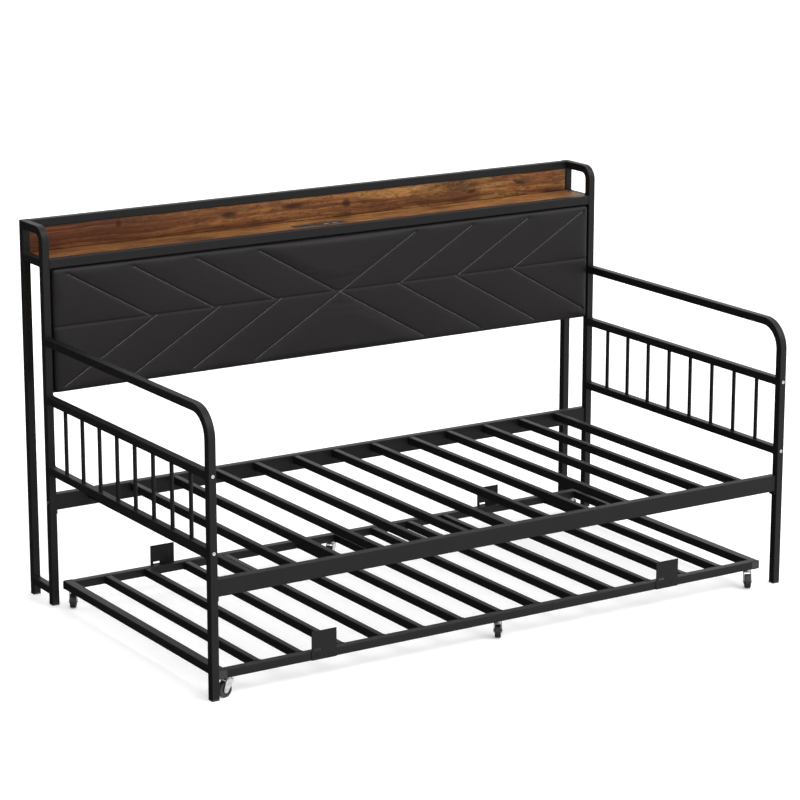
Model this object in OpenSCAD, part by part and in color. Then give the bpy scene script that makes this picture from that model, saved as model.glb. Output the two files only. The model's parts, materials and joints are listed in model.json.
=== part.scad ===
// Trundle bed: a square-tube daybed with a shelf headboard along its back, a padded back panel,
// a charging unit let into the shelf, and a low pull-out bed on six swivel casters.
// Units are millimetres, +X runs along the bed, -Y is the open front, +Z is up.

/* [Overall] */
// Outer length over the posts
bed_length = 2000; // [1700:10:2400]
// Depth from the front face of the arm posts to the rear face of the back posts
bed_depth = 1150; // [1000:5:1500]
// Height of the shelf headboard
bed_height = 1160; // [950:5:1400]

/* [Frame tube] */
// Outer size of the square post tube
tube = 24; // [18:1:32]
// Wall thickness of the post tube
wall = 1.4; // [1:0.1:2.5]
// Thickness of the plastic foot under each post
foot_t = 5; // [3:1:10]

/* [Arms] */
// Height of the top of the arms
arm_height = 829; // [700:1:940]
// Outer bend radius at the front of each arm
arm_bend = 90; // [50:1:150]
// Height of the top of the upper infill rail
infill_top = 652; // [540:1:780]
// Height of the top of the lower infill rail
infill_low = 435; // [380:1:560]
// Diameter of the round spindles
spindle_d = 12; // [6:1:16]
// Number of spindles in each arm
spindle_count = 8; // [4:1:8]
// Share of the arm's clear depth between neighbouring spindles
spindle_pitch_share = 0.1132; // [0.07:0.0001:0.12]

/* [Deck] */
// Underside of the two deck rails
deck_z = 296; // [250:1:400]
// Height of the deck rails
deck_rail_h = 50; // [30:1:60]
// Width of the deck rails
deck_rail_w = 25; // [20:1:40]
// Distance of each rail's front face behind the post's front face
deck_setback = 5; // [0:1:12]
// Number of deck slats
slat_count = 13; // [8:1:18]
// Share of the bed length between neighbouring deck slats
slat_pitch_share = 0.0716; // [0.05:0.0001:0.075]
// Width of a slat
slat_w = 20; // [12:1:30]
// Height of a slat
slat_h = 25; // [12:1:25]
// How far the slat tops lie below the rail tops
slat_drop = 2; // [0:1:10]

/* [Bookcase] */
// Depth of the bookcase over its posts
book_depth = 154; // [120:1:260]
// Outer bend radius at the top front of the bookcase
book_bend = 45; // [30:1:70]
// Height of the shelf surface above the floor, as a share of the bed height
shelf_share = 0.9164; // [0.85:0.0001:0.94]
// Height of the rail along the front of the shelf
shelf_rail_h = 28; // [20:1:40]
// Thickness of the shelf board
shelf_t = 15; // [10:1:20]
// Thickness of the backboard
backboard_t = 12; // [8:1:18]
// Underside of the low side stretchers
stretcher_z = 32; // [20:1:80]

/* [Back panel] */
// Underside of the padded panel
panel_z = 656; // [560:1:760]
// Thickness of the padding at its edge
pad_t = 25; // [15:1:40]
// Thickness of the board behind the padding
panel_board_t = 9; // [6:1:15]
// Gap between the panel and the posts
panel_gap = 3; // [1:0.5:8]

/* [Charging unit] */
// Length of the face of the charging unit
charger_l = 188; // [150:1:260]
// Width of the face of the charging unit
charger_w = 42; // [36:1:60]
// Depth of the housing below the shelf surface
charger_h = 44; // [30:1:60]
// Position of the unit along the bed, from the middle
charger_x = -24; // [-400:1:400]

/* [Trundle] */
// Average gap between each end of the pull-out bed and the posts
trundle_end_gap = 26; // [26:1:60]
// Gap between its rear rail and the bookcase posts
trundle_rear_gap = 22; // [15:1:80]
// Distance of its front face behind the front face of the posts
trundle_setback = 11; // [8:1:30]
// Where the pull-out bed is parked along the bed
trundle_shift = -24; // [-24:1:24]
// Height of its rails and of the gap below them
trundle_rail_h = 25; // [20:1:30]
// Width of its front and rear rails
trundle_rail_w = 25; // [20:1:40]
// Width of its end rails
end_rail_w = 28; // [25:1:50]
// Distance between neighbouring trundle slats, as a share of the trundle length
trundle_pitch_share = 0.0712; // [0.05:0.0001:0.075]
// How far the trundle slats lie below the rail tops
trundle_slat_drop = 0; // [0:1:8]
// Half the distance between the mattress stops, as a share of the trundle length
stop_share = 0.317; // [0.28:0.0005:0.33]
// How far the stops sit off the middle of the trundle
stop_shift = -10; // [-15:1:15]
// Width of a mattress stop
stop_w = 81; // [60:1:92]
// Height of a mattress stop
stop_h = 85; // [50:1:110]
// Sheet thickness of a mattress stop
stop_t = 2; // [1.5:0.1:4]

/* [Casters] */
// Wheel diameter
wheel_d = 44; // [36:1:46]
// Wheel width
wheel_w = 18; // [14:1:22]
// Distance of the axle behind the swivel axis
trail = 14; // [10:1:20]
// Distance of the outer front swivels from the ends of the trundle
caster_inset = 36; // [25:1:80]
// The same distance for the rear casters, clear of the front posts when the trundle rolls out
rear_caster_inset = 28; // [20:1:80]
// Offset of the middle casters along the bed
mid_caster_shift = -14; // [-30:1:30]
// Overall height of a caster, floor to rail
caster_h = 56; // [54:1:80]

/* [Hidden] */
$fn = 48;
fit = 0.1;
head_t = 2;
head_d = 10;
bolt_d = 6;
socket_d = 4.6;
socket_depth = 1.6;
bolt_hole_d = 6.4;
slat_wall = 1;
corner_r = wall + 1.1;
corner_steps = 4;
half_l = bed_length / 2;
inner_x = half_l - tube;
wheel_rim = 3;
caster_heading = [[190, 55, 237], [238, 215, 250]];
// How far a front caster at heading h reaches forward of its swivel
function reach(h) = -trail * sin(h) + wheel_d / 2 * abs(sin(h)) + (wheel_w - wheel_rim) / 2 * abs(cos(h));
front_over = max([for (h = caster_heading[0]) reach(h)]) - trundle_setback - trundle_rail_w / 2;
front_y = -(bed_depth - max(head_t, front_over)) / 2;
rear_y = front_y + bed_depth;
book_y = rear_y - book_depth;
shelf_z = round(bed_height * shelf_share);
deck_top = deck_z + deck_rail_h;
plate_t = 4;
plate_drop = 12;
deck_len = 2 * (inner_x - plate_t);
rail_y = [front_y + deck_setback, book_y + deck_setback];
slat_y0 = front_y + deck_setback + deck_rail_w;
slat_len = book_y + deck_setback - slat_y0;
slat_pitch = bed_length * slat_pitch_share;
infill_y0 = front_y + tube;
infill_len = book_y - infill_y0;
spindle_z0 = infill_low;
spindle_len = infill_top - tube - infill_low;
spindle_step = infill_len * spindle_pitch_share;
stretcher_y0 = book_y + tube;
stretcher_len = book_depth - 2 * tube;
side_bolt_z = deck_z + deck_rail_h / 2;
panel_top = shelf_z - shelf_rail_h - 1;
panel_h = panel_top - panel_z;
panel_l = 2 * (inner_x - panel_gap);
pad_front_y = book_y + tube - panel_board_t - pad_t;
charger_y0 = book_y + tube + 6;
charger_face_t = 3;
housing_l = charger_l - 8;
housing_w = charger_w - 6;
port_inset = 0.5;
// Centres of the two mains outlets and the two charging ports, from the unit's middle
socket_x = [-62, -18];
usb_x = [26, 58];
socket_l = 34;
socket_w = 28;
usb_l = 18;
usb_w = 9;
trundle_length = 2 * (inner_x - trundle_end_gap);
trundle_depth = bed_depth - book_depth - trundle_setback - trundle_rear_gap;
trundle_z = caster_h;
trundle_top = trundle_z + trundle_rail_h;
trundle_y0 = front_y + trundle_setback;
trundle_y1 = trundle_y0 + trundle_depth;
cap_t = 2.5;
cap_plug = 14;
trundle_slat_y0 = trundle_y0 + trundle_rail_w;
trundle_slat_len = trundle_depth - 2 * trundle_rail_w;
trundle_pitch = trundle_length * trundle_pitch_share;
trundle_wall = 1.4;
stop_x = trundle_length * stop_share;
stop_slot_l = 22;
stop_slot_h = 6;
// Swivel positions along the bed and across it
caster_x = [for (inset = [caster_inset, rear_caster_inset])
  [for (k = [-1, 0, 1])
    trundle_shift + k * (trundle_length / 2 - inset) + (k == 0 ? mid_caster_shift : 0)]];
caster_y = [trundle_y0 + trundle_rail_w / 2, trundle_y1 - trundle_rail_w / 2];
flange_d = 22;
flange_t = 2.5;
pin_d = 8;
crown_z = wheel_d + 4;
crown_t = 3;
crown_top = caster_h - flange_t - 0.4;
fork_gap = wheel_w + 2;
fork_t = 2;
fork_r = 8;
fork_half = 12;
axle_d = 5;
axle_r = wheel_d / 2;

black_metal = [0.13, 0.13, 0.135];
black_leather = [0.11, 0.11, 0.115];
brown_wood = [0.45, 0.26, 0.14];
zinc = [0.78, 0.79, 0.8];
black_plastic = [0.07, 0.07, 0.075];
white_plastic = [0.85, 0.86, 0.88];

// Corner points of a w by h rectangle about the origin with rounded corners, set in by inset
function section_points(w, h, inset) = [
  for (q = [0:3], k = [0:corner_steps])
    let (a = 90 * (q + k / corner_steps), r = corner_r - inset)
      [(q == 0 || q == 3 ? 1 : -1) * (w / 2 - corner_r) + r * cos(a),
        (q < 2 ? 1 : -1) * (h / 2 - corner_r) + r * sin(a)]
];

// Cross-section of a rectangular tube
module tube_section(w, h, t) {
  difference() {
    polygon(section_points(w, h, 0));
    polygon(section_points(w, h, t));
  }
}

// Straight rectangular tube, open at both ends: axis 0 lies along X, 1 along Y and 2 along Z
module box_tube(pos, size, along, t) {
  mid = pos + size / 2;
  if (along == 0)
    translate([pos[0], mid[1], mid[2]]) rotate([90, 0, 90]) linear_extrude(size[0])
      tube_section(size[1], size[2], t);
  if (along == 1)
    translate([mid[0], pos[1] + size[1], mid[2]]) rotate([90, 0, 0]) linear_extrude(size[1])
      tube_section(size[0], size[2], t);
  if (along == 2)
    translate([mid[0], mid[1], pos[2]]) linear_extrude(size[2]) tube_section(size[0], size[1], t);
}

// Square tube that rises from the foot, bends back over a quarter turn and runs to the rear
module bent_tube(x, y0, top, bend, y_end) {
  box_tube([x - tube / 2, y0, foot_t], [tube, tube, top - bend - foot_t], 2, wall);
  translate([x, y0 + bend, top - bend]) rotate([90, 0, 90]) rotate([0, 0, 90])
    rotate_extrude(angle = 90, $fn = 96) translate([bend - tube / 2, 0]) tube_section(tube, tube, wall);
  box_tube([x - tube / 2, y0 + bend, top - tube], [tube, y_end - y0 - bend, tube], 1, wall);
}

module post_bolt_holes(x, zs, y) {
  for (z = zs) translate([x, y - 1, z]) rotate([-90, 0, 0]) cylinder(d = bolt_hole_d, h = tube + 2);
}

module arm_tube(s) {
  x = s * (half_l - tube / 2);
  color(black_metal)
    difference() {
      bent_tube(x, front_y, arm_height, arm_bend, book_y);
      post_bolt_holes(x, [infill_top - tube / 2, infill_low - tube / 2], front_y);
    }
}

module infill_rails(s) {
  x = s * (half_l - tube / 2) - tube / 2;
  color(black_metal)
    for (z = [infill_low, infill_top])
      box_tube([x, infill_y0, z - tube], [tube, infill_len, tube], 1, wall);
}

module spindles(s) {
  color(black_metal)
    for (k = [1:spindle_count])
      translate([s * (half_l - tube / 2), infill_y0 + infill_len / 2 + (k - (spindle_count + 1) / 2) * spindle_step,
        spindle_z0])
        difference() {
          cylinder(d = spindle_d, h = spindle_len);
          translate([0, 0, -1]) cylinder(d = spindle_d - 2, h = spindle_len + 2);
        }
}

// Wedge behind or above the mitre line that joins the top tube to the rear post
module mitre_waste(x, above) {
  low = [rear_y - tube - 1, bed_height - tube - 1];
  high = [rear_y + 1, bed_height + 1];
  translate([x - tube, 0, 0]) rotate([90, 0, 90]) linear_extrude(2 * tube)
    polygon([low, high, above ? [low[0], high[1]] : [high[0], low[1]]]);
}

module book_front_tube(s) {
  x = s * (half_l - tube / 2);
  color(black_metal)
    difference() {
      bent_tube(x, book_y, bed_height, book_bend, rear_y);
      mitre_waste(x, false);
      translate([s * (half_l + 1), book_y + tube / 2, side_bolt_z])
        rotate([0, -s * 90, 0]) cylinder(d = bolt_hole_d, h = tube + 2);
    }
}

module rear_post(s) {
  x = s * (half_l - tube / 2);
  color(black_metal)
    difference() {
      box_tube([x - tube / 2, rear_y - tube, foot_t], [tube, tube, bed_height - foot_t], 2, wall);
      mitre_waste(x, true);
    }
}

module base_stretcher(s) {
  color(black_metal)
    box_tube([s * (half_l - tube / 2) - tube / 2, stretcher_y0, stretcher_z],
      [tube, stretcher_len, tube], 1, wall);
}

module shelf_side_rail(s) {
  color(black_metal)
    box_tube([s * (half_l - tube / 2) - tube / 2, stretcher_y0, shelf_z - tube],
      [tube, stretcher_len, tube], 1, wall);
}

module rear_top_rail() {
  color(black_metal)
    box_tube([-inner_x, rear_y - tube, bed_height - tube], [2 * inner_x, tube, tube], 0, wall);
}

module shelf_front_rail() {
  color(black_metal)
    box_tube([-inner_x, book_y, shelf_z - shelf_rail_h], [2 * inner_x, tube, shelf_rail_h], 0, wall);
}

module shelf_rear_rail() {
  color(black_metal)
    box_tube([-inner_x, rear_y - tube, shelf_z - tube], [2 * inner_x, tube, tube], 0, wall);
}

module shelf_board() {
  color(brown_wood)
    difference() {
      translate([-inner_x, stretcher_y0, shelf_z - shelf_t]) cube([2 * inner_x, stretcher_len, shelf_t]);
      translate([charger_x - charger_l / 2, charger_y0, shelf_z - charger_face_t])
        cube([charger_l, charger_w, charger_face_t + 1]);
      translate([charger_x - housing_l / 2, charger_y0 + (charger_w - housing_w) / 2, shelf_z - shelf_t - 1])
        cube([housing_l, housing_w, shelf_t + 2]);
    }
}

module backboard() {
  color(brown_wood)
    translate([-inner_x, rear_y - tube + 4, shelf_z])
      cube([2 * inner_x, backboard_t, bed_height - tube - shelf_z]);
}

module panel_board() {
  color(brown_wood)
    translate([-inner_x, book_y + tube - panel_board_t, panel_z]) cube([2 * inner_x, panel_board_t, panel_h]);
}

module panel_pad() {
  color(black_leather)
    translate([-panel_l / 2, pad_front_y, panel_z]) cube([panel_l, pad_t, panel_h]);
}

module deck_rail(k) {
  color(black_metal)
    box_tube([-deck_len / 2, rail_y[k], deck_z], [deck_len, deck_rail_w, deck_rail_h], 0, wall);
}

module deck_slats() {
  color(black_metal)
    for (k = [0:slat_count - 1])
      box_tube([(k - (slat_count - 1) / 2) * slat_pitch - slat_w / 2, slat_y0, deck_top - slat_drop - slat_h],
        [slat_w, slat_len, slat_h], 1, slat_wall);
}

module rail_end_plates() {
  color(black_metal)
    for (s = [-1, 1], k = [0, 1])
      translate([s * (inner_x - plate_t / 2) - plate_t / 2, rail_y[k], deck_z - plate_drop])
        cube([plate_t, deck_rail_w, deck_rail_h + plate_drop]);
}

module foot_caps() {
  color(black_plastic)
    for (s = [-1, 1], y = [front_y, book_y, rear_y - tube])
      translate([s * (half_l - tube / 2), y + tube / 2, 0]) {
        linear_extrude(foot_t) polygon(section_points(tube, tube, 0));
        linear_extrude(foot_t + 16) polygon(section_points(tube, tube, wall + fit));
      }
}

// Low round bolt head with a hexagon socket; the shank runs along -Z from the seat at z = 0
module bolt(len) {
  difference() {
    union() {
      cylinder(d = head_d, h = head_t);
      translate([0, 0, -len]) cylinder(d = bolt_d, h = len + head_t / 2);
    }
    translate([0, 0, head_t - socket_depth]) cylinder(d = socket_d, h = head_t, $fn = 6);
  }
}

module frame_bolts() {
  color(zinc)
    for (s = [-1, 1]) {
      for (z = [infill_top - tube / 2, infill_low - tube / 2])
        translate([s * (half_l - tube / 2), front_y, z]) rotate([90, 0, 0]) bolt(tube + 12);
      translate([s * half_l, book_y + tube / 2, side_bolt_z]) rotate([0, s * 90, 0]) bolt(tube);
    }
}

module charger_housing() {
  color(black_plastic)
    difference() {
      translate([charger_x - housing_l / 2 + fit, charger_y0 + (charger_w - housing_w) / 2 + fit,
        shelf_z - charger_h])
        cube([housing_l - 2 * fit, housing_w - 2 * fit, charger_h - charger_face_t]);
      translate([charger_x - housing_l / 2 + 2, charger_y0 + (charger_w - housing_w) / 2 + 2,
        shelf_z - charger_h + 2])
        cube([housing_l - 4, housing_w - 4, charger_h]);
      translate([charger_x - housing_l / 2 + 16, charger_y0 + charger_w / 2, shelf_z - charger_h - 1])
        cylinder(d = 10, h = 4);
    }
}

module charger_face() {
  color(black_plastic)
    difference() {
      translate([charger_x - charger_l / 2 + fit, charger_y0 + fit, shelf_z - charger_face_t])
        cube([charger_l - 2 * fit, charger_w - 2 * fit, charger_face_t]);
      for (x = socket_x)
        translate([charger_x + x - socket_l / 2, charger_y0 + (charger_w - socket_w) / 2,
          shelf_z - charger_face_t - 1])
          cube([socket_l, socket_w, charger_face_t + 2]);
      for (x = usb_x)
        translate([charger_x + x - usb_l / 2, charger_y0 + (charger_w - usb_w) / 2,
          shelf_z - charger_face_t - 1])
          cube([usb_l, usb_w, charger_face_t + 2]);
    }
}

module power_sockets() {
  slot_l = 7;
  slot_w = 2;
  depth = 12;
  color(black_plastic)
    for (x = socket_x)
      translate([charger_x + x, charger_y0 + charger_w / 2, shelf_z - port_inset - depth])
        difference() {
          translate([-socket_l / 2 + fit, -socket_w / 2 + fit, 0])
            cube([socket_l - 2 * fit, socket_w - 2 * fit, depth]);
          for (s = [-1, 1])
            translate([s * 6.3 - slot_w / 2, 1, depth - 8]) cube([slot_w, slot_l, 9]);
          translate([0, -7, depth - 8]) cylinder(d = 5, h = 9);
        }
}

module usb_ports() {
  depth = 10;
  color(white_plastic)
    for (x = usb_x)
      translate([charger_x + x, charger_y0 + charger_w / 2, shelf_z - port_inset - depth])
        difference() {
          translate([-usb_l / 2 + fit, -usb_w / 2 + fit, 0]) cube([usb_l - 2 * fit, usb_w - 2 * fit, depth]);
          translate([-6.5, -2.5, depth - 7]) cube([13, 5, 8]);
        }
}

module cable_gland() {
  color(black_plastic)
    translate([charger_x - housing_l / 2 + 16, charger_y0 + charger_w / 2, shelf_z - charger_h])
      difference() {
        union() {
          translate([0, 0, -8]) cylinder(d = 14, h = 8);
          translate([0, 0, -4]) cylinder(d = 9.8, h = 8);
        }
        translate([0, 0, -9]) cylinder(d = 6, h = 14);
      }
}

module trundle_rail(y) {
  len = trundle_length - 2 * end_rail_w;
  color(black_metal)
    box_tube([trundle_shift - len / 2, y, trundle_z], [len, trundle_rail_w, trundle_rail_h], 0, trundle_wall);
}

module trundle_end_rail(s) {
  x = trundle_shift + s * (trundle_length - end_rail_w) / 2 - end_rail_w / 2;
  color(black_metal)
    box_tube([x, trundle_y0 + cap_t, trundle_z], [end_rail_w, trundle_depth - 2 * cap_t, trundle_rail_h],
      1, trundle_wall);
}

module trundle_slats() {
  z = trundle_top - trundle_slat_drop - slat_h;
  color(black_metal)
    for (k = [0:slat_count - 1])
      box_tube([trundle_shift + (k - (slat_count - 1) / 2) * trundle_pitch - slat_w / 2, trundle_slat_y0, z],
        [slat_w, trundle_slat_len, slat_h], 1, slat_wall);
}

module trundle_end_caps() {
  color(black_plastic)
    for (s = [-1, 1], e = [0, 1])
      translate([trundle_shift + s * (trundle_length - end_rail_w) / 2, e == 0 ? trundle_y0 : trundle_y1,
        trundle_z + trundle_rail_h / 2])
        rotate([-90, 0, e * 180]) {
          linear_extrude(cap_t) polygon(section_points(end_rail_w, trundle_rail_h, 0));
          linear_extrude(cap_t + cap_plug)
            polygon(section_points(end_rail_w, trundle_rail_h, trundle_wall + fit));
        }
}

module mattress_stops() {
  color(black_metal)
    for (s = [-1, 1], y = [trundle_y0 - stop_t, trundle_y1])
      translate([trundle_shift + stop_shift + s * stop_x, y, trundle_z])
        difference() {
          translate([-stop_w / 2, 0, 0]) cube([stop_w, stop_t, stop_h]);
          translate([-stop_w / 4 - stop_slot_l / 2, -1, trundle_rail_h + 2])
            cube([stop_slot_l, stop_t + 2, stop_slot_h]);
          for (e = [-1, 1])
            translate([e * stop_w / 4, -1, trundle_rail_h / 2])
              rotate([-90, 0, 0]) cylinder(d = 4.3, h = stop_t + 2);
        }
}

// Low rivet heads that hold each stop plate to its rail
module stop_bolts() {
  color(black_metal)
    for (s = [-1, 1], e = [-1, 1], f = [0, 1])
      translate([trundle_shift + stop_shift + s * stop_x + e * stop_w / 4,
        f == 0 ? trundle_y0 - stop_t : trundle_y1 + stop_t, trundle_z + trundle_rail_h / 2])
        rotate([90, 0, f * 180]) {
          cylinder(d = 8, h = 1.2);
          translate([0, 0, -stop_t]) cylinder(d = 4.1, h = stop_t + 0.6);
        }
}

// Flanged swivel pins that hang the casters under the rails
module caster_stems() {
  color(zinc)
    for (i = [0, 1], j = [0:2])
      translate([caster_x[i][j], caster_y[i], 0]) {
        translate([0, 0, caster_h - flange_t]) cylinder(d = flange_d, h = flange_t);
        translate([0, 0, crown_z - 0.4]) cylinder(d = pin_d, h = caster_h - crown_z);
        translate([0, 0, crown_z - 2]) cylinder(d = 13, h = 1.6);
      }
}

// Places a caster piece at its swivel, turned to its heading
module at_caster(n) {
  i = floor((n - 1) / 3);
  j = (n - 1) % 3;
  translate([caster_x[i][j], caster_y[i], 0]) rotate([0, 0, caster_heading[i][j]]) children();
}

module fork_side() {
  polygon([
    [-fork_half, crown_z + crown_t], [-fork_half, crown_z - 4],
    [trail + fork_r * cos(225), axle_r + fork_r * sin(225)],
    [trail + fork_r * cos(10), axle_r + fork_r * sin(10)],
    [fork_half + 4, crown_z - 3], [fork_half, crown_z + crown_t]
  ]);
  translate([trail, axle_r]) circle(r = fork_r);
}

module fork(n) {
  color(zinc)
    at_caster(n)
      difference() {
        union() {
          for (s = [-1, 1])
            translate([0, s * (fork_gap + fork_t) / 2 + fork_t / 2, 0])
              rotate([90, 0, 0]) linear_extrude(fork_t) fork_side();
          translate([-fork_half, -fork_gap / 2 - fork_t / 2, crown_z])
            cube([2 * fork_half, fork_gap + fork_t, crown_t]);
          translate([0, 0, crown_z]) cylinder(d = 2 * fork_half, h = crown_top - crown_z);
        }
        translate([0, 0, crown_z - 1]) cylinder(d = pin_d + 2 * fit, h = crown_top);
        translate([trail, 0, axle_r])
          rotate([90, 0, 0]) cylinder(d = axle_d + fit, h = fork_gap + 4 * fork_t, center = true);
      }
}

module axle(n) {
  grip = fork_gap + 2 * fork_t;
  color(zinc)
    at_caster(n)
      translate([trail, 0, axle_r])
        rotate([90, 0, 0]) {
          cylinder(d = axle_d, h = grip + 2, center = true);
          for (s = [-1, 1]) translate([0, 0, s * (grip / 2 + 0.75)]) cylinder(d = 8, h = 1.5, center = true);
        }
}

module wheel(n) {
  color(black_plastic)
    at_caster(n)
      translate([trail, 0, axle_r])
        rotate([90, 0, 0])
          difference() {
            union() {
              cylinder(d = wheel_d - wheel_rim, h = wheel_w, center = true, $fn = 64);
              cylinder(d = wheel_d, h = wheel_w - wheel_rim, center = true, $fn = 64);
              cylinder(d = 12, h = wheel_w + 1.4, center = true);
            }
            for (s = [-1, 1])
              translate([0, 0, s * wheel_w / 2])
                difference() {
                  cylinder(d = wheel_d - 12, h = 3, center = true);
                  cylinder(d = 14, h = 4, center = true);
                }
            cylinder(d = axle_d + fit, h = wheel_w + 4, center = true);
          }
}

arm_tube(-1);  // arm_tube_l
arm_tube(1);  // arm_tube_r
infill_rails(-1);  // infill_rails_l
infill_rails(1);  // infill_rails_r
spindles(-1);  // spindles_l
spindles(1);  // spindles_r
book_front_tube(-1);  // book_front_tube_l
book_front_tube(1);  // book_front_tube_r
rear_post(-1);  // rear_post_l
rear_post(1);  // rear_post_r
base_stretcher(-1);  // base_stretcher_l
base_stretcher(1);  // base_stretcher_r
shelf_side_rail(-1);  // shelf_side_rail_l
shelf_side_rail(1);  // shelf_side_rail_r
rear_top_rail();
shelf_front_rail();
shelf_rear_rail();
shelf_board();
backboard();
panel_board();
panel_pad();
deck_rail(0);  // deck_front_rail
deck_rail(1);  // deck_rear_rail
deck_slats();
rail_end_plates();
foot_caps();
frame_bolts();
charger_housing();
charger_face();
power_sockets();
usb_ports();
cable_gland();
trundle_rail(trundle_y0);  // trundle_front_rail
trundle_rail(trundle_y1 - trundle_rail_w);  // trundle_rear_rail
trundle_end_rail(-1);  // trundle_end_rail_l
trundle_end_rail(1);  // trundle_end_rail_r
trundle_slats();
trundle_end_caps();
mattress_stops();
stop_bolts();
caster_stems();
fork(1);  // fork_1
fork(2);  // fork_2
fork(3);  // fork_3
fork(4);  // fork_4
fork(5);  // fork_5
fork(6);  // fork_6
axle(1);  // axle_1
axle(2);  // axle_2
axle(3);  // axle_3
axle(4);  // axle_4
axle(5);  // axle_5
axle(6);  // axle_6
wheel(1);  // wheel_1
wheel(2);  // wheel_2
wheel(3);  // wheel_3
wheel(4);  // wheel_4
wheel(5);  // wheel_5
wheel(6);  // wheel_6
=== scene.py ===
"""Looks of the trundle bed: materials, the stitched leather panel, welds, light and camera."""
import json
import math

import bmesh
import bpy
import numpy as np
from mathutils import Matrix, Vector
from mathutils.bvhtree import BVHTree


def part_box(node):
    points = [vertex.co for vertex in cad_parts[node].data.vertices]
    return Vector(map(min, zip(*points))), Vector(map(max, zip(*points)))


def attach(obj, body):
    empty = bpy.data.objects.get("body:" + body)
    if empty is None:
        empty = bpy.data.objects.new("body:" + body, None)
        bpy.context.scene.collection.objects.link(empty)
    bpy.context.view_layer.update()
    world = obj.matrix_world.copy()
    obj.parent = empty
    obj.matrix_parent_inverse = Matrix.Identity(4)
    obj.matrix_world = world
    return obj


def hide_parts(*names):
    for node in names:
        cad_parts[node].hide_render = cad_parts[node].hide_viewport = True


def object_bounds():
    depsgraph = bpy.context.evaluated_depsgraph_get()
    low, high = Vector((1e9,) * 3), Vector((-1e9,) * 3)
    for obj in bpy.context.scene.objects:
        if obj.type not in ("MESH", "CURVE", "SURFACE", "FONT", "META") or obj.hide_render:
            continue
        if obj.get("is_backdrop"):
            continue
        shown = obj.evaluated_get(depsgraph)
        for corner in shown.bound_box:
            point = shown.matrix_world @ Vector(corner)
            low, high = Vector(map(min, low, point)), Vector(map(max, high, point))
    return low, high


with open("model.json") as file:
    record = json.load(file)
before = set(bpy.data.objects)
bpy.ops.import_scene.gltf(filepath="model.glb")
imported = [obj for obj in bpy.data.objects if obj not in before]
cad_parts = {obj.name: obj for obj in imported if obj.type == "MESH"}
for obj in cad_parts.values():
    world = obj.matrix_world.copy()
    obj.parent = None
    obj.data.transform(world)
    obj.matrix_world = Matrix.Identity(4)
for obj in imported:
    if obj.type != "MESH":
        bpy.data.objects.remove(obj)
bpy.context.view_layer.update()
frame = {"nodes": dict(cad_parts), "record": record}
nodes = frame["nodes"]
scene = bpy.context.scene


# ---------------------------------------------------------------- shader helpers
class Shader:
    """One material's node tree, with short ways to add and join nodes."""

    def __init__(self, name):
        self.mat = bpy.data.materials.new(name)
        self.mat.use_nodes = True
        self.tree = self.mat.node_tree
        self.tree.nodes.clear()
        self.out = self.tree.nodes.new("ShaderNodeOutputMaterial")
        self.bsdf = self.tree.nodes.new("ShaderNodeBsdfPrincipled")
        self.tree.links.new(self.bsdf.outputs[0], self.out.inputs[0])
        self.point = self.tree.nodes.new("ShaderNodeTexCoord").outputs["Object"]

    def plug(self, socket, value):
        """Joins a value to a socket: an output is linked, anything else is set."""
        if isinstance(value, bpy.types.NodeSocket):
            self.tree.links.new(value, socket)
        elif value is not None:
            socket.default_value = value

    def node(self, kind, inputs=None, **settings):
        n = self.tree.nodes.new("ShaderNode" + kind)
        for k, v in settings.items():
            setattr(n, k, v)
        for k, v in (inputs or {}).items():
            self.plug(n.inputs[k], v)
        return n

    def scaled(self, sx, sy, sz, point=None, shift=(0, 0, 0)):
        """Coordinates stretched by a scale on each axis."""
        inputs = {"Vector": point or self.point, "Scale": (sx, sy, sz), "Location": shift}
        return self.node("Mapping", inputs).outputs[0]

    def noise(self, vector, scale=1.0, detail=2.0, rough=0.5, distortion=0.0):
        inputs = {"Vector": vector, "Scale": scale, "Detail": detail}
        inputs |= {"Roughness": rough, "Distortion": distortion}
        return self.node("TexNoise", inputs).outputs["Fac"]

    def voronoi(self, vector, scale=1.0, feature="F1", randomness=1.0, output="Distance"):
        inputs = {"Vector": vector, "Scale": scale, "Randomness": randomness}
        return self.node("TexVoronoi", inputs, feature=feature).outputs[output]

    def math(self, op, a, b=None, c=None, clamp=False):
        n = self.node("Math", operation=op, use_clamp=clamp)
        for socket, value in zip(n.inputs, (a, b, c)):
            self.plug(socket, value)
        return n.outputs[0]

    def ramp(self, fac, stops, ease="LINEAR"):
        """Colour ramp; each stop is (place, colour or grey)."""
        n = self.node("ValToRGB", {"Fac": fac})
        n.color_ramp.interpolation = ease
        el = n.color_ramp.elements
        while len(el) < len(stops):
            el.new(0.5)
        for e, (place, c) in zip(el, stops):
            e.position = place
            e.color = (*((c, c, c) if isinstance(c, (int, float)) else c), 1.0)
        return n.outputs[0]

    def mix(self, fac, a, b, blend="MIX"):
        n = self.node("Mix", data_type="RGBA", blend_type=blend)
        self.plug(n.inputs[0], fac)
        for socket, value in ((n.inputs[6], a), (n.inputs[7], b)):
            if isinstance(value, tuple) and len(value) == 3:
                value = (*value, 1.0)
            self.plug(socket, value)
        return n.outputs[2]

    def bump(self, height, strength, distance, normal=None):
        inputs = {"Height": height, "Strength": strength, "Distance": distance, "Normal": normal}
        return self.node("Bump", inputs).outputs[0]

    def set(self, **values):
        """Sets Principled inputs by their names, with _ for a space."""
        for k, v in values.items():
            socket = self.bsdf.inputs[k.replace("_", " ")]
            if isinstance(v, tuple) and len(v) == 3:
                v = (*v, 1.0)
            self.plug(socket, v)
        return self.mat

    def axis(self, which, point=None):
        return self.node("SeparateXYZ", {0: point or self.point}).outputs["XYZ".index(which)]


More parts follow.
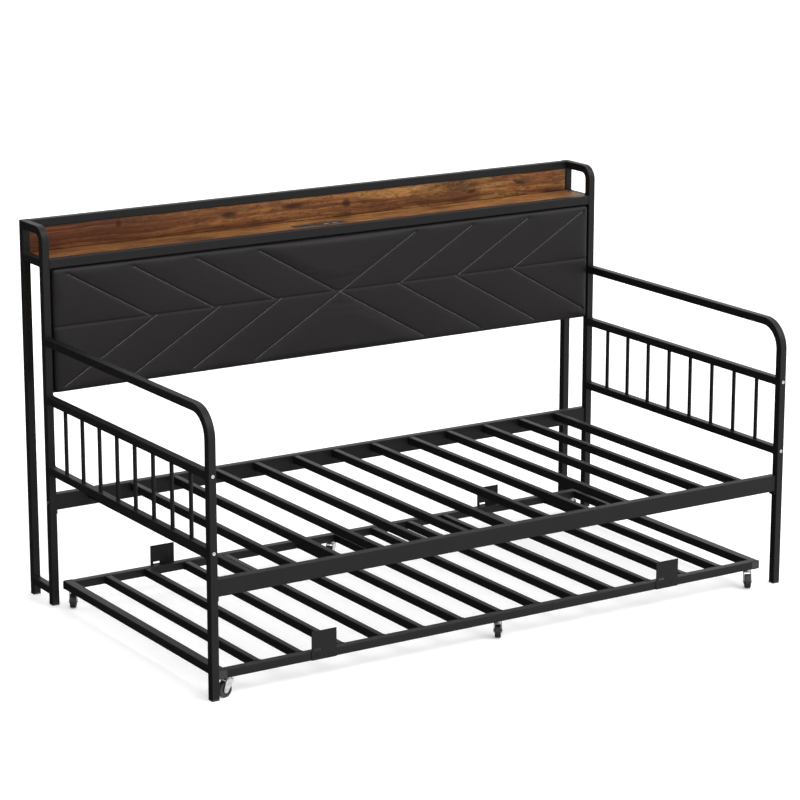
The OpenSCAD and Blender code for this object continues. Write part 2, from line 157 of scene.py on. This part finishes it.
# ---------------------------------------------------------------- materials
def powder_coat():
    """Satin black powder coat: fine orange peel, faint cloudiness in gloss."""
    s = Shader("frame_metal_coat")
    cloud = s.noise(s.point, 9.0, 3.0, 0.6)
    grain = s.noise(s.point, 1400.0, 2.0, 0.6)
    peel = s.voronoi(s.point, 620.0, "SMOOTH_F1")
    tone = s.math("ADD", s.math("MULTIPLY", cloud, 0.7), s.math("MULTIPLY", grain, 0.3))
    colour = s.ramp(tone, [(0.25, (0.0052, 0.0050, 0.0052)), (0.75, (0.0090, 0.0087, 0.0090))])
    rough = s.math("MULTIPLY_ADD", cloud, 0.16, 0.33)
    rough = s.math("ADD", rough, s.math("MULTIPLY", grain, 0.08))
    n = s.bump(peel, 0.10, 0.0004)
    n = s.bump(grain, 0.08, 0.0002, n)
    return s.set(Base_Color=colour, Roughness=rough, Normal=n, Specular_IOR_Level=0.17)


# the backboard's large knots: place along X, place across, half length, half height
LARGE_KNOTS = [
    (-0.68, 1.676, 0.014, 0.014),
    (-0.30, 1.668, 0.040, 0.010),
    (-0.07, 1.672, 0.060, 0.012),
    (0.125, 1.662, 0.022, 0.020),
    (0.60, 1.650, 0.026, 0.012),
    (0.79, 1.672, 0.036, 0.012),
]


def rustic_wood():
    """Rustic printed board: long grain, rings, knots, saw marks, redder and darker at the left end."""
    s = Shader("shelf_wood_rustic")
    # one flat coordinate system for the shelf and the board behind it:
    # grain along X, height plus depth across
    across = s.math("ADD", s.axis("Z"), s.axis("Y"))
    flat = s.node("CombineXYZ", {0: s.axis("X"), 1: across, 2: 0.0}).outputs[0]
    # knots push the grain aside
    knot = s.voronoi(s.scaled(3.9, 9.5, 1, flat, (0.35, 0.2, 0)), randomness=0.85)
    knot_mask = s.ramp(knot, [(0.0, 1.0), (0.16, 0.75), (0.34, 0.0)], "EASE")
    wobble = s.noise(s.scaled(2.2, 9, 1, flat), 1.0, 3.0, 0.55)
    bend = s.math("ADD", s.math("MULTIPLY", knot_mask, 0.028), s.math("MULTIPLY", wobble, 0.05))
    bent_across = s.math("ADD", s.axis("Y", flat), bend)
    bent = s.node("CombineXYZ", {0: s.axis("X", flat), 1: bent_across, 2: 0.0}).outputs[0]
    fibre = s.noise(s.scaled(7, 420, 1, bent), 1.0, 6.0, 0.7)
    streak = s.noise(s.scaled(1.6, 62, 1, bent), 1.0, 5.0, 0.65, 0.4)
    wave = {"Vector": s.scaled(0.35, 15, 1, bent), "Scale": 1.0, "Distortion": 7.0}
    wave |= {"Detail": 3.0, "Detail Scale": 1.4, "Detail Roughness": 0.6}
    rings = s.node("TexWave", wave, wave_type="BANDS", bands_direction="Y", wave_profile="SAW").outputs["Fac"]
    patch = s.noise(s.scaled(4.2, 13, 1, flat, (2.0, 0.7, 0)), 1.0, 4.0, 0.62, 0.6)
    saw = s.noise(s.scaled(340, 12, 1, flat), 1.0, 2.0, 0.6)
    tone = s.math("MULTIPLY_ADD", streak, 0.62, s.math("MULTIPLY", rings, 0.18))
    tone = s.math("ADD", tone, s.math("MULTIPLY", fibre, 0.22))
    browns = [
        (0.28, (0.032, 0.010, 0.004)),
        (0.42, (0.120, 0.043, 0.014)),
        (0.56, (0.235, 0.090, 0.028)),
        (0.74, (0.400, 0.182, 0.062)),
    ]
    wood = s.ramp(tone, browns)
    left = s.node("MapRange", {"Value": s.axis("X"), "From Min": -0.98, "From Max": 0.35}).outputs[0]
    red = s.mix(1.0, wood, (0.50, 0.36, 0.32), "MULTIPLY")
    wood = s.mix(left, red, wood)
    # yellower patches in random places, strongest towards the right end, and a painted highlight: a lighter
    # strip painted on the shelf's own surface
    yellow_patch = s.noise(s.scaled(3.1, 21, 1, flat, (5.0, 1.3, 0)), 1.0, 5.0, 0.68, 0.8)
    yellow_patch = s.math("MULTIPLY", s.ramp(yellow_patch, [(0.48, 0.0), (0.64, 1.0)], "EASE"), s.math("POWER", left, 1.8))
    wood = s.mix(yellow_patch, wood, (0.36, 0.180, 0.052))
    # painted highlight: the shelf board's own surface is painted lighter than the board behind it
    painted_lit_strip = s.node("MapRange", {"Value": across, "From Min": 1.622, "From Max": 1.618}).outputs[0]
    wood = s.mix(s.math("MULTIPLY", painted_lit_strip, 0.22), wood, (0.50, 0.24, 0.07))
    mottle = s.noise(s.scaled(34, 120, 1, flat), 1.0, 5.0, 0.75, 1.2)
    wood = s.mix(s.ramp(mottle, [(0.47, 0.0), (0.66, 0.78)], "EASE"), wood, (0.050, 0.017, 0.006))
    dark = s.ramp(patch, [(0.45, 0.0), (0.62, 1.0)], "EASE")
    dark = s.math("MULTIPLY", dark, s.ramp(fibre, [(0.3, 1.0), (0.65, 0.25)]))
    wood = s.mix(s.math("MULTIPLY", dark, 0.78), wood, (0.045, 0.014, 0.005))
    ripple = s.math("MULTIPLY", s.math("SINE", s.math("MULTIPLY", knot, 95.0)), 0.5)
    heart = s.math("MULTIPLY", knot_mask, s.ramp(ripple, [(0.0, 1.0), (0.5, 0.7)]))
    wood = s.mix(s.math("MULTIPLY", heart, 0.85, clamp=True), wood, (0.030, 0.010, 0.004))
    # the bent coordinates sit this far from the flat ones on average
    mean_bend = 0.025
    for x, v, long, tall in LARGE_KNOTS:
        shift = (-x / long, -(v + mean_bend) / tall, 0)
        place = s.scaled(1 / long, 1 / tall, 1, bent, shift)
        near = s.node("VectorMath", {0: place}, operation="LENGTH").outputs["Value"]
        core = s.ramp(near, [(0.0, 0.92), (0.35, 0.80), (1.0, 0.0)], "EASE")
        wood = s.mix(core, wood, (0.020, 0.007, 0.003))
    wood = s.mix(s.ramp(saw, [(0.58, 0.0), (0.72, 0.22)]), wood, (0.05, 0.02, 0.008))
    rough = s.math("MULTIPLY_ADD", fibre, 0.25, 0.36)
    n = s.bump(fibre, 0.22, 0.0006)
    n = s.bump(s.math("SUBTRACT", 1.0, knot_mask), 0.25, 0.0008, n)
    return s.set(Base_Color=wood, Roughness=rough, Normal=n, Specular_IOR_Level=0.16)


def plywood():
    """Thin pale sheet behind the padding, with a faint face grain."""
    s = Shader("panel_wood_sheet")
    grain = s.noise(s.scaled(6, 40, 190), 1.0, 5.0, 0.65, 0.3)
    cloud = s.noise(s.scaled(1.5, 5, 9), 1.0, 3.0, 0.5)
    tone = s.math("MULTIPLY_ADD", grain, 0.65, s.math("MULTIPLY", cloud, 0.35))
    tans = [(0.3, (0.23, 0.135, 0.065)), (0.5, (0.40, 0.27, 0.145)), (0.72, (0.52, 0.38, 0.22))]
    colour = s.ramp(tone, tans)
    # the black cover is turned over the edges of the sheet and cut a little unevenly
    lo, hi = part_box("panel_board")
    margins = []
    for axis, low, high in (("X", lo[0], hi[0]), ("Z", lo[2], hi[2])):
        margins += [s.math("SUBTRACT", s.axis(axis), low), s.math("SUBTRACT", high, s.axis(axis))]
    margin = margins[0]
    for other in margins[1:]:
        margin = s.math("MINIMUM", margin, other)
    margin = s.math("ADD", margin, s.math("MULTIPLY", s.noise(s.point, 14.0), 0.008))
    bare = s.node("MapRange", {"Value": margin, "From Min": 0.0320, "From Max": 0.0325}).outputs[0]
    colour = s.mix(bare, (0.0085, 0.0080, 0.0082), colour)
    rough = s.math("MULTIPLY_ADD", grain, 0.2, 0.55)
    return s.set(Base_Color=colour, Roughness=rough, Normal=s.bump(grain, 0.2, 0.0005), Specular_IOR_Level=0.3)


def leather():
    """Black faux leather: pebbled grain, soft creases, slightly polished crests."""
    s = Shader("leather_panel")
    pebble = s.voronoi(s.point, 520.0, "DISTANCE_TO_EDGE")
    pore = s.noise(s.point, 1900.0, 2.0, 0.6)
    crease = s.noise(s.scaled(9, 9, 16), 1.0, 4.0, 0.55, 0.8)
    cloud = s.noise(s.point, 4.5, 3.0, 0.5)
    valley = s.ramp(pebble, [(0.0, 0.0), (0.16, 1.0)], "EASE")
    # painted shade: the grain's valleys are painted darker than its crests
    colour = s.mix(valley, (0.0050, 0.0042, 0.0045), (0.0105, 0.0088, 0.0092))
    colour = s.mix(s.math("MULTIPLY", cloud, 0.35), colour, (0.0160, 0.0138, 0.0140))
    rough = s.math("MULTIPLY_ADD", cloud, 0.14, 0.34)
    rough = s.math("ADD", rough, s.math("MULTIPLY", s.math("SUBTRACT", 1.0, valley), 0.12))
    n = s.bump(crease, 0.30, 0.0035)
    n = s.bump(valley, 0.28, 0.00035, n)
    n = s.bump(pore, 0.08, 0.0002, n)
    return s.set(Base_Color=colour, Roughness=rough, Normal=n, Specular_IOR_Level=0.16)


def thread(name, low, high):
    """Sewing thread with a twisted lay."""
    s = Shader(name)
    wave = {"Vector": s.point, "Scale": 900.0, "Distortion": 1.0}
    twist = s.node("TexWave", wave, wave_type="BANDS", bands_direction="DIAGONAL").outputs["Fac"]
    colour = s.ramp(twist, [(0.2, low), (0.8, high)])
    rough = s.math("MULTIPLY_ADD", twist, 0.2, 0.5)
    return s.set(Base_Color=colour, Roughness=rough, Normal=s.bump(twist, 0.4, 0.0002))


def metal(name, tint, rough, scratch, gloss_noise=0.12):
    """Bare plated steel: brushed streaks, cloudy plating, tiny pits."""
    s = Shader(name)
    streak = s.noise(s.scaled(60, 60, 1500), 1.0, 3.0, 0.6)
    cloud = s.noise(s.point, 120.0, 3.0, 0.6)
    pit = s.voronoi(s.point, 900.0)
    colour = s.mix(s.ramp(cloud, [(0.3, 0.0), (0.75, 1.0)]), tint, tuple(0.72 * c for c in tint))
    r = s.math("MULTIPLY_ADD", streak, gloss_noise, rough)
    r = s.math("ADD", r, s.math("MULTIPLY", cloud, 0.10))
    n = s.bump(streak, scratch, 0.0002)
    n = s.bump(s.ramp(pit, [(0.0, 0.0), (0.12, 1.0)]), 0.10, 0.0002, n)
    return s.set(Base_Color=colour, Metallic=1.0, Roughness=r, Normal=n)


def plastic(name, low, high, rough, grain_scale=1300.0, bump=0.16):
    """Moulded plastic: spark-eroded grain and slow changes in gloss."""
    s = Shader(name)
    grain = s.noise(s.point, grain_scale, 2.0, 0.65)
    cloud = s.noise(s.point, 30.0, 3.0, 0.5)
    colour = s.mix(s.math("MULTIPLY_ADD", grain, 0.5, s.math("MULTIPLY", cloud, 0.5)), low, high)
    r = s.math("MULTIPLY_ADD", grain, 0.14, rough)
    r = s.math("ADD", r, s.math("MULTIPLY", cloud, 0.10))
    return s.set(Base_Color=colour, Roughness=r, Normal=s.bump(grain, bump, 0.0002))


def floor_material():
    """Plain pale floor with a faint glow, which keeps the shadows on it light."""
    s = Shader("studio_floor")
    cloud = s.noise(s.point, 0.7, 3.0, 0.5)
    colour = s.ramp(cloud, [(0.2, 0.925), (0.8, 0.945)])
    return s.set(Base_Color=colour, Roughness=0.85, Emission_Color=colour, Emission_Strength=0.25)


slots = {
    "frame_metal": powder_coat(),
    "leather": leather(),
    "shelf_wood": rustic_wood(),
    "panel_wood": plywood(),
    "charger_plastic": plastic("charger_plastic_black", (0.012, 0.012, 0.013), (0.022, 0.022, 0.024), 0.32),
    "port_plastic": plastic("port_plastic_pale", (0.26, 0.30, 0.36), (0.34, 0.38, 0.44), 0.22, 900.0, 0.05),
    "cap_plastic": plastic("cap_plastic_black", (0.010, 0.010, 0.0105), (0.020, 0.020, 0.021), 0.42),
    "bolt_steel": metal("bolt_steel_zinc", (0.66, 0.66, 0.67), 0.26, 0.15),
    "caster_zinc": metal("caster_zinc_bright", (0.56, 0.57, 0.585), 0.24, 0.14),
    "wheel_plastic": plastic("wheel_plastic_black", (0.010, 0.010, 0.010), (0.022, 0.021, 0.021), 0.36),
}
for part in frame["record"]["subparts"]:
    o = nodes[part["node"]]
    for i in range(len(o.material_slots)):
        o.material_slots[i].material = slots[part["material_slot"]]


# ---------------------------------------------------------------- softened board edges
def soften(node, width, angle=40):
    """Rounds the edges of a board or moulding, leaving its mesh as it is."""
    o = nodes[node]
    weld = o.modifiers.new("join", "WELD")
    weld.merge_threshold = 0.00002
    bevel = o.modifiers.new("soften", "BEVEL")
    bevel.width = width
    bevel.segments = 3
    bevel.limit_method = "ANGLE"
    bevel.angle_limit = math.radians(angle)
    bevel.harden_normals = True


for name in ("shelf_board", "backboard", "panel_board"):
    soften(name, 0.0012)
for name in ("charger_face", "charger_housing", "rail_end_plates"):
    soften(name, 0.0007)


# ---------------------------------------------------------------- stitched leather panel
# slanting lines: rise per run, spacing along the seam, and how far the rising ones sit to the right
SLOPE = 0.58
APEX_STEP = 0.217
APEXES_PER_SIDE = 4
RISING_SHIFT = 0.026
FALLING_SHIFT_RIGHT = 0.012
SEAM_SHARE = 0.532
LINE_INSET = 0.018
CHANNEL_DEPTH = 0.0028
CHANNEL_HALF_WIDTH = 0.0034
SWELL_LIMIT = 0.007
pad_lo, pad_hi = (Vector(v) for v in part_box("panel_pad"))
seam_z = pad_lo.z + SEAM_SHARE * (pad_hi.z - pad_lo.z)


def chevron_lines():
    """Start and end of every slanting sewn line, in the plane of the face."""
    limit = pad_hi.x - LINE_INSET
    lines = []
    for side in (-1, 1):
        for end_z in (pad_lo.z + LINE_INSET, pad_hi.z - LINE_INSET):
            rising = (end_z > seam_z) == (side > 0)
            falling_shift = FALLING_SHIFT_RIGHT if side > 0 else 0.0
            shift = RISING_SHIFT if rising else falling_shift
            for k in range(APEXES_PER_SIDE):
                start_x = side * k * APEX_STEP + shift
                end_x = start_x + side * abs(end_z - seam_z) / SLOPE
                share = min(1.0, (limit - side * start_x) / (side * (end_x - start_x)))
                end = (start_x + (end_x - start_x) * share, seam_z + (end_z - seam_z) * share)
                lines.append(((start_x, seam_z), end))
    return lines


seam_line = [((pad_lo.x + 0.006, seam_z), (pad_hi.x - 0.006, seam_z))]


def sewn_distance(x, z):
    """Distance of points on the face from the nearest sewn line."""
    nearest = np.full(len(x), 1.0)
    for (x0, z0), (x1, z1) in seam_line + chevron_lines():
        dx, dz = x1 - x0, z1 - z0
        along = np.clip(((x - x0) * dx + (z - z0) * dz) / (dx * dx + dz * dz), 0.0, 1.0)
        nearest = np.minimum(nearest, np.hypot(x - x0 - along * dx, z - z0 - along * dz))
    return nearest


def coords(mesh):
    """A mesh's points as rows of x, y, z."""
    co = np.empty(len(mesh.vertices) * 3)
    mesh.vertices.foreach_get("co", co)
    return co.reshape(-1, 3)


def evaluated(obj):
    """A copy of an object's mesh with its modifiers applied."""
    graph = bpy.context.evaluated_depsgraph_get()
    return bpy.data.meshes.new_from_object(obj.evaluated_get(graph))


def use_mesh(obj, mesh):
    """Gives an object the result of its modifiers and drops them."""
    obj.modifiers.clear()
    obj.data = mesh


def make_pad():
    """The padded panel: a rounded slab swollen by a cloth simulation, then channelled along its seams."""
    bm = bmesh.new()
    bmesh.ops.create_cube(bm, size=1)
    size = pad_hi - pad_lo - Vector((0.004, 0.005, 0.004))
    middle = Vector(((pad_lo.x + pad_hi.x) / 2, pad_hi.y - size.y / 2, (pad_lo.z + pad_hi.z) / 2))
    for v in bm.verts:
        v.co = Vector((v.co.x * size.x, v.co.y * size.y, v.co.z * size.z)) + middle
    bmesh.ops.bevel(bm, geom=bm.edges[:], offset=0.008, segments=4, profile=0.5, affect="EDGES")
    mesh = bpy.data.meshes.new("leather_panel")
    bm.to_mesh(mesh)
    bm.free()
    pad = bpy.data.objects.new("leather_panel", mesh)
    scene.collection.objects.link(pad)
    remesh = pad.modifiers.new("remesh", "REMESH")
    remesh.mode = "VOXEL"
    remesh.voxel_size = 0.006
    use_mesh(pad, evaluated(pad))

    start = coords(pad.data)
    front = pad_hi.y - size.y
    distance = sewn_distance(start[:, 0], start[:, 2])
    on_face = start[:, 1] < front + 0.004
    held = (on_face & (distance < 0.0045)) | (start[:, 1] > pad_hi.y - 0.007)
    group = pad.vertex_groups.new(name="sewn")
    group.add([int(i) for i in np.nonzero(held)[0]], 1.0, "REPLACE")
    cloth = pad.modifiers.new("cloth", "CLOTH")
    cloth.settings.quality = 4
    cloth.settings.mass = 0.15
    cloth.settings.use_pressure = True
    cloth.settings.uniform_pressure_force = 4
    cloth.settings.vertex_group_mass = "sewn"
    cloth.settings.effector_weights.gravity = 0
    cloth.collision_settings.use_collision = False
    cloth.point_cache.frame_start = 1
    cloth.point_cache.frame_end = 20
    for frame_number in range(1, 21):
        scene.frame_set(frame_number)
    swollen = evaluated(pad)
    moved = coords(swollen)
    pad.modifiers.clear()
    pad.vertex_groups.clear()
    scene.frame_set(1)
    bpy.data.meshes.remove(swollen)
    step = moved - start
    length = np.linalg.norm(step, axis=1)
    print("pad swelled by up to", round(float(length.max()), 4), "mean", round(float(length.mean()), 4))
    moved = start + step * np.minimum(1.0, SWELL_LIMIT / np.maximum(length, 1e-9))[:, None]
    moved = np.clip(moved, np.array(pad_lo), np.array(pad_hi))
    pad.data.vertices.foreach_set("co", moved.ravel())
    pad.data.update()

    subdivide = pad.modifiers.new("subdivide", "SUBSURF")
    subdivide.levels = 1
    use_mesh(pad, evaluated(pad))
    fine = coords(pad.data)
    distance = sewn_distance(fine[:, 0], fine[:, 2])
    on_front = np.where(fine[:, 1] < front + 0.006, 1.0, 0.0)
    fine[:, 1] += on_front * CHANNEL_DEPTH * np.exp(-((distance / CHANNEL_HALF_WIDTH) ** 2))
    pad.data.vertices.foreach_set("co", fine.ravel())
    pad.data.shade_smooth()
    pad.data.update()
    pad.data.materials.clear()
    pad.data.materials.append(slots["leather"])
    return pad


# one stitch from end to end: place along it, share of the full radius, depth below the surface
STITCH_RINGS = [(-0.0023, 0.35, 0.0004), (-0.0014, 1.0, 0.0), (0.0014, 1.0, 0.0), (0.0023, 0.35, 0.0004)]


def make_stitches(name, pad, lines, material):
    """One short sunk stitch after another along each sewn line."""
    mesh = pad.data
    tree = BVHTree.FromPolygons([v.co for v in mesh.vertices], [p.vertices for p in mesh.polygons])
    verts, faces = [], []
    pitch, radius, sides = 0.0065, 0.0007, 6
    for (x0, z0), (x1, z1) in lines:
        along = Vector((x1 - x0, 0, z1 - z0))
        count = int(along.length / pitch)
        along.normalize()
        across = Vector((0, 1, 0)).cross(along)
        for k in range(count):
            middle = Vector((x0, pad_lo.y - 0.05, z0)) + along * ((k + 0.5) * pitch)
            hit = tree.ray_cast(middle, Vector((0, 1, 0)))[0]
            if hit is None:
                continue
            base = len(verts)
            for t, r, sink in STITCH_RINGS:
                for j in range(sides):
                    a = 2 * math.pi * j / sides
                    outward = Vector((0, radius * r * math.sin(a) + sink, 0))
                    verts.append(hit + along * t + across * (radius * r * math.cos(a)) + outward)
            for ring in range(3):
                for j in range(sides):
                    a, b = base + ring * sides + j, base + ring * sides + (j + 1) % sides
                    faces.append((a, b, b + sides, a + sides))
            faces.append(tuple(base + j for j in reversed(range(sides))))
            faces.append(tuple(base + 3 * sides + j for j in range(sides)))
    return add_mesh(name, verts, faces, material)


def add_mesh(name, verts, faces, material):
    """A smooth-shaded object from points and faces."""
    mesh = bpy.data.meshes.new(name)
    mesh.from_pydata([tuple(v) for v in verts], [], faces)
    mesh.shade_smooth()
    mesh.materials.append(material)
    o = bpy.data.objects.new(name, mesh)
    scene.collection.objects.link(o)
    return o


panel = make_pad()
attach(panel, "bed")
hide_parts("panel_pad")
# painted highlight: the chevron lines' thread is coloured light grey to stand in for the glint along those
# sewn lines; the seam's black thread keeps the thread's own dark colour
painted_glint_thread = thread("leather_thread_painted_glint", (0.15, 0.15, 0.152), (0.32, 0.318, 0.32))
black_thread = thread("leather_thread_black", (0.010, 0.010, 0.010), (0.028, 0.027, 0.028))
sewing = (("chevron_stitches", chevron_lines(), painted_glint_thread), ("seam_stitches", seam_line, black_thread))
for name, lines, material in sewing:
    stitches = make_stitches(name, panel, lines, material)
    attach(stitches, "bed")


# ---------------------------------------------------------------- weld beads
class Beads:
    """Rippled fillets of weld metal round the ends of tubes, gathered into one mesh."""

    def __init__(self):
        self.verts, self.faces = [], []

    def path(self, points, normal, radius=0.0014):
        """A closed bead through points that lie in the plane across normal."""
        n, sides, base = len(points), 6, len(self.verts)
        centre = sum(points, Vector()) / n
        for i, p in enumerate(points):
            outward = (p - centre).normalized()
            r = radius * (1 + 0.16 * math.sin(i * 2.1) + 0.10 * math.sin(i * 0.9 + base))
            for j in range(sides):
                a = 2 * math.pi * j / sides
                self.verts.append(p + outward * (r * math.cos(a)) + normal * (r * math.sin(a)))
        for i in range(n):
            k = (i + 1) % n
            for j in range(sides):
                m = (j + 1) % sides
                near, far = base + i * sides, base + k * sides
                self.faces.append((near + j, far + j, far + m, near + m))

    def tube(self, centre, axis, width, height):
        """A bead round a tube's end; axis is "X" or "Y", width lies flat and height is up."""
        normal = Vector((1, 0, 0)) if axis == "X" else Vector((0, 1, 0))
        flat = Vector((0, 1, 0)) if axis == "X" else Vector((1, 0, 0))
        w, h, step = width / 2, height / 2, 0.0025
        points = []
        corners = [(-w, -h), (w, -h), (w, h), (-w, h)]
        for (u0, v0), (u1, v1) in zip(corners, corners[1:] + corners[:1]):
            count = max(4, int(math.hypot(u1 - u0, v1 - v0) / step))
            for i in range(count):
                f = (i + 0.5) / count
                rise = Vector((0, 0, v0 + (v1 - v0) * f))
                points.append(Vector(centre) + flat * (u0 + (u1 - u0) * f) + rise)
        self.path(points, normal)

    def ring(self, centre, diameter):
        """A bead round an upright bar's end."""
        points = []
        for i in range(20):
            a = 2 * math.pi * i / 20
            points.append(Vector(centre) + Vector((math.cos(a), math.sin(a), 0)) * (diameter / 2))
        self.path(points, Vector((0, 0, 1)), 0.0010)

    def both_ends(self, node, axis):
        """Beads round both ends of a straight rail that fills its node's box."""
        lo, hi = (Vector(v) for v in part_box(node))
        mid = (lo + hi) / 2
        for end in (lo, hi):
            if axis == "X":
                self.tube((end.x, mid.y, mid.z), "X", hi.y - lo.y, hi.z - lo.z)
            else:
                self.tube((mid.x, end.y, mid.z), "Y", hi.x - lo.x, hi.z - lo.z)

    def slats(self, node, width, count):
        """Beads round the ends of a row of slats along the bed."""
        lo, hi = (Vector(v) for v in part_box(node))
        for k in range(count):
            x = lo.x + width / 2 + (hi.x - lo.x - width) * k / (count - 1)
            for y in (lo.y, hi.y):
                self.tube((x, y, (lo.z + hi.z) / 2), "Y", width, hi.z - lo.z)

    def add(self, name, body):
        o = add_mesh(name, self.verts, self.faces, slots["frame_metal"])
        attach(o, body)


SPINDLES = 8
SLATS = 13
SLAT_WIDTH = 0.020
bed = Beads()
for side in "lr":
    for node in ("base_stretcher_", "shelf_side_rail_"):
        bed.both_ends(node + side, "Y")
    lo, hi = (Vector(v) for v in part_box("infill_rails_" + side))
    tube = hi.x - lo.x
    for z in (lo.z + tube / 2, hi.z - tube / 2):
        for y in (lo.y, hi.y):
            bed.tube(((lo.x + hi.x) / 2, y, z), "Y", tube, tube)
    lo, hi = (Vector(v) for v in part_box("spindles_" + side))
    bar = hi.x - lo.x
    for k in range(SPINDLES):
        y = lo.y + bar / 2 + (hi.y - lo.y - bar) * k / (SPINDLES - 1)
        for z in (lo.z, hi.z):
            bed.ring(((lo.x + hi.x) / 2, y, z), bar)
for node in ("rear_top_rail", "shelf_front_rail", "shelf_rear_rail"):
    bed.both_ends(node, "X")
bed.slats("deck_slats", SLAT_WIDTH, SLATS)
bed.add("weld_beads_bed", "bed")
trundle = Beads()
trundle.slats("trundle_slats", SLAT_WIDTH, SLATS)
for side in "lr":
    trundle.both_ends("trundle_end_rail_" + side, "Y")
trundle.add("weld_beads_trundle", "trundle")


# ---------------------------------------------------------------- light, floor, camera
def add_sun(name, toward, strength, angle, colour=(1, 1, 1)):
    data = bpy.data.lights.new(name, "SUN")
    data.energy = strength
    data.angle = math.radians(angle)
    data.color = colour
    o = bpy.data.objects.new(name, data)
    o.rotation_mode = "QUATERNION"
    o.rotation_quaternion = Vector(toward).to_track_quat("Z", "Y")
    scene.collection.objects.link(o)


world = bpy.data.worlds.new("studio")
world.use_nodes = True
# a soft studio: bright above and to the right front, dim on the far left
sky = world.node_tree
facing = sky.nodes.new("ShaderNodeVectorMath")
facing.operation = "DOT_PRODUCT"
facing.inputs[1].default_value = (0.65, -0.35, 0.68)
sky.links.new(sky.nodes.new("ShaderNodeTexCoord").outputs["Generated"], facing.inputs[0])
spread = sky.nodes.new("ShaderNodeMapRange")
spread.interpolation_type = "SMOOTHSTEP"
for socket, value in (("From Min", -0.6), ("From Max", 0.65), ("To Min", 0.04), ("To Max", 1.50)):
    spread.inputs[socket].default_value = value
sky.links.new(facing.outputs["Value"], spread.inputs["Value"])
sky.links.new(spread.outputs[0], sky.nodes["Background"].inputs["Strength"])
sky.nodes["Background"].inputs["Color"].default_value = (1.0, 1.0, 1.0, 1.0)
scene.world = world
add_sun("key", (0.62, -0.62, 0.9), 1.2, 35)
scene.view_settings.view_transform = "Standard"

bpy.ops.mesh.primitive_plane_add(size=120, location=(0, 0, 0))
floor = bpy.context.object
floor.name = "studio_floor"
floor.data.materials.append(floor_material())
floor.visible_glossy = False
floor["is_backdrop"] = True

camera = bpy.data.cameras.new("camera")
camera.lens = 131.96
camera.sensor_width = 36
camera.clip_end = 200
eye = bpy.data.objects.new("camera", camera)
yaw, pitch = math.radians(32.419), math.radians(14.232)
eye.location = (-4.63331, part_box("arm_tube_l")[0][1] - 6.68009, 2.77892)
eye.rotation_euler = (math.pi / 2 - pitch, 0, -yaw)
scene.collection.objects.link(eye)
scene.camera = eye

bpy.context.view_layer.update()
lo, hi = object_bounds()
